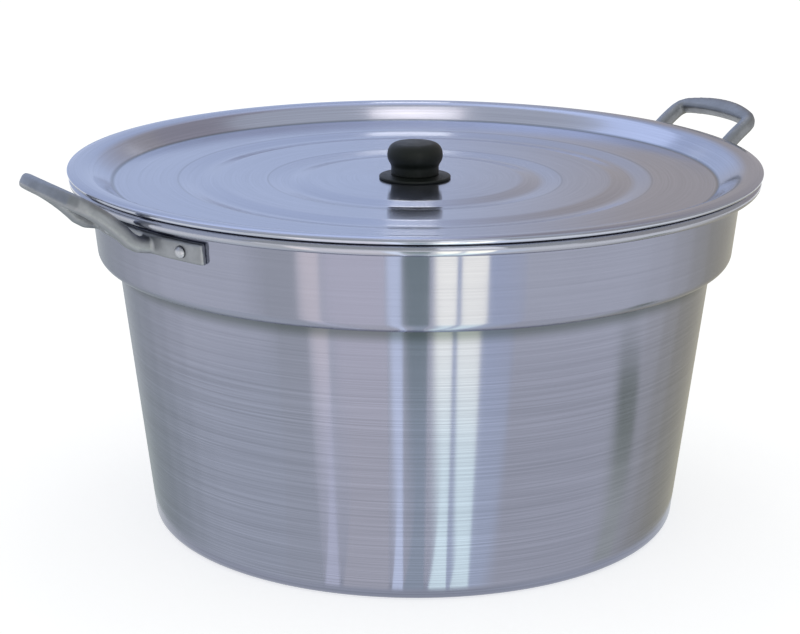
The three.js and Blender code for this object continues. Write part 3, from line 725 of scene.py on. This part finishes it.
class STOCKPOT_OT_spin_lid(bpy.types.Operator):
    """Spin the lid's sheet: rolled hem, flange, sunk panel and two pressed grooves."""

    bl_idname = "stockpot.spin_lid"
    bl_label = "Spin the lid"

    def execute(self, context):
        size = context.scene.stockpot_lid
        colours = context.scene.stockpot_colours
        floor = -size.panel_drop - size.outer_depth
        band_top = floor + size.outer_return
        disc_top = band_top - size.band_fall
        outer = size.crease_radius - size.panel_width
        band = outer - size.groove_width
        inner = band - size.band_width
        disc = inner - size.groove_width
        soft = size.groove_round
        hem_middle = (LID_RADIUS - size.hem_radius, size.hem_radius)
        hem_start = math.radians(60)
        hem_end = math.radians(-210)
        hem = arc(hem_middle, size.hem_radius, hem_start, hem_end)
        crest = LID_RADIUS - size.crest_outer
        top = [
            (size.bore_radius, disc_top, 0),
            (disc, disc_top, soft),
            ((disc + inner) / 2, disc_top - size.inner_depth, soft),
            (inner, disc_top, soft),
            (band, band_top, soft),
            ((band + outer) / 2, floor, soft),
            (outer, -size.panel_drop, soft),
            (size.crease_radius, -size.panel_drop, size.crease_round),
            (crest - size.crest_width, size.crest_rise, size.slope_round),
            (crest, size.crest_rise, size.crest_round),
            (hem[0].x, hem[0].y, 0),
        ]
        profile = rounded(top)[:-1] + hem + rounded(offset(top, -size.sheet))[-2::-1]
        lifted = [Vector((p.x, p.y + LID_BOTTOM)) for p in reversed(profile)]
        lid = revolve("lid_disc", refined(lifted, LID_RUN), AROUND_SHEET, closed=True)
        # Reach and share of the painted shade in the crease and at the grooves' outer edges
        crease_black = (0.0025, 0.7)
        edge_black = (0.0015, 0.3)
        finish = spun_aluminium(
            "spun_aluminium_lid", colours.lid_light, colours.lid_dark, colours.black,
            roughness=0.15, grain=0.7,
            creases=((size.crease_radius, *crease_black), (outer, *edge_black), (inner, *edge_black)),
        )
        fit_out(lid, "lid_set", "spun_aluminium", finish, "lid")
        return {"FINISHED"}


class STOCKPOT_OT_mould_knob(bpy.types.Operator):
    """Mould the knob's grip and its heat guard."""

    bl_idname = "stockpot.mould_knob"
    bl_label = "Mould the knob"

    def execute(self, context):
        size = context.scene.stockpot_knob
        colours = context.scene.stockpot_colours
        low, high, widest = KNOB_LOW.z, KNOB_HIGH.z, KNOB_HIGH.x
        foot_edge = 0.0005
        neck = Vector((size.neck_radius, low + size.neck_height))
        belly = Vector((widest, low + size.widest_height))
        crown = Vector((size.crown_radius, high - size.crown_drop))
        top = Vector((0, high))
        # How far out and up each of these points pulls the curves that meet there
        neck_pull = Vector((0, 0.003))
        belly_pull_down = Vector((0, -0.0045))
        belly_pull_up = Vector((0, 0.0058))
        crown_pull_out = Vector((0.0046, -0.0006))
        crown_pull_in = Vector((-0.005, 0.0007))
        top_pull = Vector((0.005, 0))
        profile = rounded([(0, low, 0), (size.neck_radius, low, foot_edge), (*neck, 0)])
        profile += bezier(neck, neck + neck_pull, belly + belly_pull_down, belly)[1:]
        profile += bezier(belly, belly + belly_pull_up, crown + crown_pull_out, crown)[1:]
        profile += bezier(crown, crown + crown_pull_in, top + top_pull, top)[1:]
        finish = moulded_phenolic("moulded_black_phenolic", colours.phenolic, colours.phenolic_dust)
        grip = revolve("knob_grip", profile, AROUND_KNOB)
        fit_out(grip, "lid_set", "black_phenolic", finish, "knob")
        low, high, edge = GUARD_LOW.z, GUARD_HIGH.z, GUARD_HIGH.x
        # The guard's straight edge in roundings, the ledge round the neck, and the curve down from it
        edge_roundings = 2.4
        ledge = 0.001
        ledge_round = 0.002
        guard = revolve("knob_guard", rounded([
            (0, low, 0),
            (edge, low, size.guard_edge),
            (edge, low + edge_roundings * size.guard_edge, size.guard_edge),
            (size.neck_radius + ledge, high, ledge_round),
            (size.neck_radius - ledge, high, 0),
            (0, high, 0),
        ]), AROUND_KNOB)
        fit_out(guard, "lid_set", "black_phenolic", finish, "knob_heat_guard")
        return {"FINISHED"}


class STOCKPOT_OT_fasten_knob(bpy.types.Operator):
    """Fasten the knob from under the lid: slotted screw, washer and the bush inside the grip."""

    bl_idname = "stockpot.fasten_knob"
    bl_label = "Fasten the knob"

    def execute(self, context):
        size = context.scene.stockpot_knob
        colours = context.scene.stockpot_colours
        zinc = turned_metal("zinc_plated_steel", colours.zinc, roughness=0.34, pitch=0.0012)
        low, high, head = SCREW_LOW.z, SCREW_HIGH.z, SCREW_HIGH.x
        seat = low + size.screw_head_height
        edge = seat - size.screw_head_edge
        # The dome's flatness as a share of the head's radius, and how far its side stays upright
        dome_flat = 0.6
        dome_side = 0.0012
        dome = bezier((0, low), (head * dome_flat, low), (head, edge - dome_side), (head, edge), steps=10)
        screw = revolve("knob_screw_slotted", dome + rounded([
            (head, seat, 0), (size.screw_radius, seat, 0), (size.screw_radius, high, 0), (0, high, 0),
        ]), AROUND_SCREW)
        slot_reach = 1.2
        half = Vector((head * slot_reach, size.screw_slot / 2, size.screw_slot))
        corners = [Vector((x, y, z)) for x in (-1, 1) for y in (-1, 1) for z in (-1, 1)]
        cutter = new_piece(
            "slot_cutter", [Vector(a * b for a, b in zip(k, half)) + Vector((0, 0, low)) for k in corners],
            [(0, 1, 3, 2), (4, 6, 7, 5), (0, 4, 5, 1), (2, 3, 7, 6), (0, 2, 6, 4), (1, 5, 7, 3)],
        )
        cut = screw.modifiers.new("Slot", "BOOLEAN")
        cut.object = cutter
        settle(screw)
        bpy.data.objects.remove(cutter)
        fit_out(screw, "lid_set", "plated_steel", zinc, "knob_screw")
        play = 0.0003
        bevel = 0.0003
        inner, outer = size.screw_radius + play, WASHER_HIGH.x
        bottom, top = WASHER_LOW.z, WASHER_HIGH.z
        ring = [Vector(p) for p in (
            (inner, bottom), (outer - bevel, bottom), (outer, bottom + bevel), (outer, top - bevel),
            (outer - bevel, top), (inner, top),
        )]
        washer = revolve("knob_washer_ring", ring, AROUND_SCREW, closed=True)
        fit_out(washer, "lid_set", "plated_steel", zinc, "knob_washer")
        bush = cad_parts["knob_insert"]
        bush.data.materials.clear()
        bush.data.materials.append(turned_metal("turned_brass", colours.brass, roughness=0.3, pitch=0.001))
        return {"FINISHED"}


class STOCKPOT_OT_cast_handles(bpy.types.Operator):
    """Cast both handles: the solid's skin in fine points, with its edges tumbled round."""

    bl_idname = "stockpot.cast_handles"
    bl_label = "Cast the handles"

    def execute(self, context):
        size = context.scene.stockpot_handle
        colours = context.scene.stockpot_colours
        finish = cast_aluminium("tumbled_cast_aluminium", colours.cast_light, colours.cast_dark)
        for side in SIDES:
            node = f"handle_{side}"
            casting = bpy.data.objects.new(f"handle_casting_{side}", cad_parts[node].data.copy())
            context.scene.collection.objects.link(casting)
            skin = casting.modifiers.new("Skin", "REMESH")
            skin.mode = "VOXEL"
            skin.voxel_size = size.skin
            skin.use_smooth_shade = True
            tumble = casting.modifiers.new("Tumbling", "SMOOTH")
            tumble.iterations = size.tumbling
            settle(casting)
            fit_out(casting, "pot", "cast_aluminium", finish, node)
        return {"FINISHED"}


class STOCKPOT_OT_head_rivets(bpy.types.Operator):
    """Head the rivets that hold the straps: a dome outside and a flat closed head inside."""

    bl_idname = "stockpot.head_rivets"
    bl_label = "Head the rivets"

    def execute(self, context):
        size = context.scene.stockpot_handle
        pot = context.scene.stockpot_pot
        colours = context.scene.stockpot_colours
        finish = headed_aluminium("headed_aluminium", colours.rivet)
        lean = (pot.collar_top_radius - pot.collar_foot_radius) / (POT_TOP - pot.sheet - pot.body_height)
        circle = pot.collar_foot_radius + lean * (size.rivet_height - pot.body_height)
        tail_gap = 0.0005
        tail_edge = 0.0004
        inner = -pot.sheet - tail_gap
        tail = inner - size.rivet_tail
        # The dome's flatness as a share of the head's radius, and how far its side stays upright
        dome_flat = 0.55
        dome_side = 0.0014
        seat = size.rivet_seat
        top = seat + size.rivet_dome
        head = size.rivet_head
        profile = rounded([
            (0, tail, 0), (head, tail, tail_edge), (head, inner, 0),
            (size.rivet_shank, inner, 0), (size.rivet_shank, seat, 0), (head, seat, 0),
        ])
        dome = bezier((head, seat), (head, seat + dome_side), (head * dome_flat, top), (0, top), steps=10)
        profile += dome[1:]
        offsets = (-size.rivet_outer, -size.rivet_inner, size.rivet_inner, size.rivet_outer)
        for side, half_turn in zip(SIDES, (0, math.pi)):
            for i, along in enumerate(offsets, 1):
                rivet = revolve(f"rivet_headed_{side}_{i}", profile, AROUND_RIVET)
                turn = Matrix.Rotation(half_turn + along / circle, 4, "Z")
                tilt = Matrix.Rotation(math.pi / 2 + math.atan(lean), 4, "Y")
                place = Matrix.Translation((circle, 0, size.rivet_height))
                rivet.data.transform(turn @ place @ tilt)
                fit_out(rivet, "pot", "rivet_aluminium", finish, f"rivet_{side}_{i}")
        return {"FINISHED"}


class STOCKPOT_OT_set_stage(bpy.types.Operator):
    """Set the stage: pale floor, soft light, cards that the metal mirrors, and the camera."""

    bl_idname = "stockpot.set_stage"
    bl_label = "Set the stage"

    def execute(self, context):
        studio = context.scene.stockpot_studio
        colours = context.scene.stockpot_colours
        scene = context.scene
        scene.view_settings.view_transform = "Standard"
        half = studio.floor_size
        corners = [(-half, -half, 0), (half, -half, 0), (half, half, 0), (-half, half, 0)]
        floor = new_piece("studio_floor", corners, [(0, 1, 2, 3)])
        floor.data.materials.append(studio_paper("pale_studio_paper", colours.floor, studio.paper_lift))
        self.light_room(scene, studio)
        self.hang_lamp(scene, studio, colours.lamp)
        self.stand_cards(studio)
        self.lay_foot_shadow()
        self.lay_streaks(studio)
        self.place_camera(scene, studio)
        return {"FINISHED"}

    def light_room(self, scene, studio):
        """The world: soft light on the pot, and plain white where it is seen."""
        world = bpy.data.worlds.new("soft_white_room")
        scene.world = world
        world.use_nodes = True
        tree = world.node_tree
        tree.nodes.clear()
        cool_white = (0.96, 0.98, 1, 1)
        white = (1, 1, 1, 1)
        room = add(
            tree, "ShaderNodeBackground", {"Color": cool_white, "Strength": studio.room_light}
        ).outputs[0]
        backdrop = add(tree, "ShaderNodeBackground", {"Color": white, "Strength": 1.0}).outputs[0]
        both = add(tree, "ShaderNodeMixShader", {0: open_rays(tree), 1: room, 2: backdrop}).outputs[0]
        add(tree, "ShaderNodeOutputWorld", {"Surface": both})

    def hang_lamp(self, scene, studio, tint):
        """A square soft box over the far side of the pot, which the camera doesn't see."""
        light = bpy.data.lights.new("overhead_box", "AREA")
        light.shape = "SQUARE"
        light.size = studio.lamp_size
        light.energy = studio.lamp_power
        light.color = tint[:3]
        box = bpy.data.objects.new("overhead_box", light)
        box.visible_camera = False
        away = Vector((math.sin(studio.view_turn), math.cos(studio.view_turn), 0)) * studio.lamp_behind
        box.location = away + Vector((0, 0, studio.lamp_height))
        box.rotation_euler = (0, 0, -studio.view_turn)
        scene.collection.objects.link(box)

    def stand_cards(self, studio):
        """Cards that only show in the metal: they stand round the pot and the camera looks through them."""
        # Name, turn to the camera's right in degrees, distance and height of one edge and of the other,
        # width, colours at the left and at the right of one who faces it from the pot, level
        cards = [
            ("front_room", 0, 1.3, 0.42, 1.3, 3.0, 3.6, "C0C4C4", "C0C4C4", 1.0),
            ("front_window", 16, 1.2, 0.5, 1.2, 1.3, 0.4, "FFFFFF", "FFFFFF", 1.6),
            ("back_wall", 180, 1.9, 0.0, 1.9, 1.7, 5.6, "C4D1EE", "B4AFB0", 1.0),
            ("high_wall", 180, 1.9, 1.7, 1.9, 3.0, 5.6, "C8D4F0", "8E8A90", 1.5),
            ("back_window", 180, 0.6, 0.528, 0.6, 0.575, 0.06, "FFFFFF", "FFFFFF", 2.6),
            ("left_wall", -90, 2.6, 0.0, 2.6, 3.0, 4.4, "C6CEDE", "C6CEDE", 1.0),
            ("right_wall", 90, 2.6, 0.0, 2.6, 3.0, 4.4, "BCBBB9", "BCBBB9", 1.0),
            ("ceiling", 180, -2.6, 3.0, 2.6, 3.0, 5.6, "CCD0D8", "CCD0D8", 1.0),
        ]
        change = ("X", 0.49, 0.57)
        no_fades = (0, 0)
        for name, turn, near, low, far, high, width, left, right, level in cards:
            angle = studio.view_turn - math.radians(turn)
            out = Vector((-math.sin(angle), -math.cos(angle), 0))
            aside = Vector((math.cos(angle), -math.sin(angle), 0)) * (width / 2)
            edges = [out * near + Vector((0, 0, low)), out * far + Vector((0, 0, high))]
            rows = [[edge + end for edge in edges] for end in (aside, -aside)]
            self.card(name, rows, studio_card(name, left, right, level, change, no_fades))

    def lay_streaks(self, studio):
        """Cards on the floor that the wall mirrors as upright streaks, each just above the one before."""
        near = Vector((-math.sin(studio.view_turn), -math.cos(studio.view_turn), 0))
        right = Vector((math.cos(studio.view_turn), -math.sin(studio.view_turn), 0))
        far = 1.2
        short = 0.36
        # Name, turns of the wall in degrees between which it shows, reach from the wall, colours that the
        # body and the collar see, level, shares that fade at the left and at the right
        streaks = [
            ("pale_left", -88, -20, short, "F0F5F6", "F0F5F6", 1.0, 0.0, 0.0),
            ("pale_right", 11, 88, short, "F3F4F4", "F3F4F4", 1.0, 0.0, 0.0),
            ("left_edge", -88, -42, far, "B6BEBE", "BCC2C6", 1.0, 0.0, 0.62),
            ("right_edge", 36, 88, far, "C0BDAC", "C0BCAC", 1.0, 0.55, 0.0),
            ("grey_strip", -30, -19.2, far, "EEF2F2", "EEF0EE", 1.0, 0.3, 0.0),
            ("warm_strip", -19.6, -15.4, far, "E1E2E7", "FFF4EB", 1.65, 0.2, 0.2),
            ("pale_strip", -15.8, -4.8, far, "E9E7E5", "FDF8F9", 1.3, 0.1, 0.1),
            ("cool_strip", -5.0, -2.2, far, "EEF6FF", "EEF6FF", 1.7, 0.15, 0.15),
            ("dark_strip", -2.8, 2.2, far, "E2EEF2", "B2C2BC", 1.0, 0.14, 0.14),
            ("window_glow", 1.6, 18.0, far, "EBF5FF", "E6F0FF", 1.2, 0.15, 0.4),
            ("window_left", 2.4, 6.6, far, "D9E8DE", "FFFAE2", 2.65, 0.16, 0.06),
            ("window_right", 7.1, 11.6, far, "D9E8DE", "FFFAE2", 2.6, 0.05, 0.2),
            ("right_smear", 40, 48.5, short, "E4E8DC", "98A290", 1.0, 0.35, 0.25),
        ]
        # Where along a streak its colour turns from the body's to the collar's
        far_change = ("Y", 0.15, 0.34)
        short_change = ("Y", 0.25, 0.75)
        wall_radius = 0.216
        widest_step = 6
        lowest = 0.001
        layer = 0.0002
        for i, (name, first, last, reach, body, collar, level, left_fade, right_fade) in enumerate(streaks):
            steps = math.ceil((last - first) / widest_step)
            rows = []
            for k in range(steps + 1):
                wall = math.radians(first + (last - first) * k / steps)
                foot = Vector((math.cos(wall), math.sin(wall))) * wall_radius
                heading = 2 * wall + math.atan2(foot.y, studio.view_distance - foot.x)
                end = foot + Vector((math.cos(heading), math.sin(heading))) * reach
                above = Vector((0, 0, lowest + layer * i))
                rows.append([near * p.x + right * p.y + above for p in (foot, end)])
            change = far_change if reach == far else short_change
            self.card(name, rows, studio_card(name, body, collar, level, change, (left_fade, right_fade)))

    def lay_foot_shadow(self):
        """A dim ring on the floor round the pot's foot, under the streaks, that only the metal sees: a
        painted shadow in the foot's reflection of the floor.
        """
        name = "foot_ring"
        # Painted shadow: the foot mirrors this dimmer ring in place of the floor's white.
        tint = "E8ECF0"
        level = 0.9
        inner, outer = 0.15, 0.225
        lift = Vector((0, 0, 0.0006))
        parts = 72
        rows = []
        for k in range(parts + 1):
            angle = 2 * math.pi * k / parts
            way = Vector((math.cos(angle), math.sin(angle), 0))
            rows.append([way * radius + lift for radius in (inner, outer)])
        self.card(name, rows, studio_card(name, tint, tint, level, ("X", 0, 1), (0, 0)))

    def card(self, name, rows, finish):
        """A card through rows of two points, from its left to its right, that the camera doesn't see."""
        points = [point for row in rows for point in row]
        parts = len(rows) - 1
        card = new_piece(name, points, [(2 * i, 2 * i + 2, 2 * i + 3, 2 * i + 1) for i in range(parts)])
        places = card.data.uv_layers.new(name="across_and_along")
        for corner, place in zip(card.data.loops, places.data):
            place.uv = (corner.vertex_index // 2 / parts, corner.vertex_index % 2)
        card.data.materials.append(finish)
        card.visible_camera = card.visible_diffuse = card.visible_shadow = False

    def place_camera(self, scene, studio):
        """The camera at the photograph's place."""
        data = bpy.data.cameras.new("photo_camera")
        data.sensor_width = 36
        data.lens = studio.lens
        camera = bpy.data.objects.new("photo_camera", data)
        right = Vector((math.cos(studio.view_roll), 0, math.sin(studio.view_roll)))
        up = Vector((-math.sin(studio.view_roll), 0, math.cos(studio.view_roll)))
        axes = Matrix((right, up, Vector((0, -1, 0)))).transposed().to_4x4()
        pitch = Matrix.Rotation(-studio.view_pitch, 4, "X")
        place = Matrix.Translation((studio.view_side, -studio.view_distance, studio.view_height))
        camera.matrix_world = Matrix.Rotation(-studio.view_turn, 4, "Z") @ place @ pitch @ axes
        data.clip_end = 100
        scene.collection.objects.link(camera)
        scene.camera = camera


STEPS = (
    STOCKPOT_OT_spin_pot,
    STOCKPOT_OT_spin_lid,
    STOCKPOT_OT_mould_knob,
    STOCKPOT_OT_fasten_knob,
    STOCKPOT_OT_cast_handles,
    STOCKPOT_OT_head_rivets,
    STOCKPOT_OT_set_stage,
)

GROUPS = {
    "stockpot_pot": PotSizes,
    "stockpot_lid": LidSizes,
    "stockpot_knob": KnobSizes,
    "stockpot_handle": HandleSizes,
    "stockpot_colours": FinishColours,
    "stockpot_studio": StudioSettings,
}


class STOCKPOT_PT_workshop(bpy.types.Panel):
    """The steps that make the stockpot, with its sizes and colours."""

    bl_idname = "STOCKPOT_PT_workshop"
    bl_label = "Stockpot"
    bl_space_type = "VIEW_3D"
    bl_region_type = "UI"
    bl_category = "Stockpot"

    def draw(self, context):
        for step in STEPS:
            self.layout.operator(step.bl_idname)
        for name in GROUPS:
            box = self.layout.box()
            group = getattr(context.scene, name)
            for key in group.bl_rna.properties.keys():
                if key not in ("name", "rna_type"):
                    box.prop(group, key)


def register():
    for made in (*GROUPS.values(), *STEPS, STOCKPOT_PT_workshop):
        bpy.utils.register_class(made)
    for name, group in GROUPS.items():
        setattr(bpy.types.Scene, name, bpy.props.PointerProperty(type=group))


def unregister():
    for name in GROUPS:
        delattr(bpy.types.Scene, name)
    for made in (STOCKPOT_PT_workshop, *STEPS, *GROUPS.values()):
        bpy.utils.unregister_class(made)


def main():
    register()
    for step in STEPS:
        category, action = step.bl_idname.split(".")
        getattr(getattr(bpy.ops, category), action)()


if __name__ == "__main__":
    main()
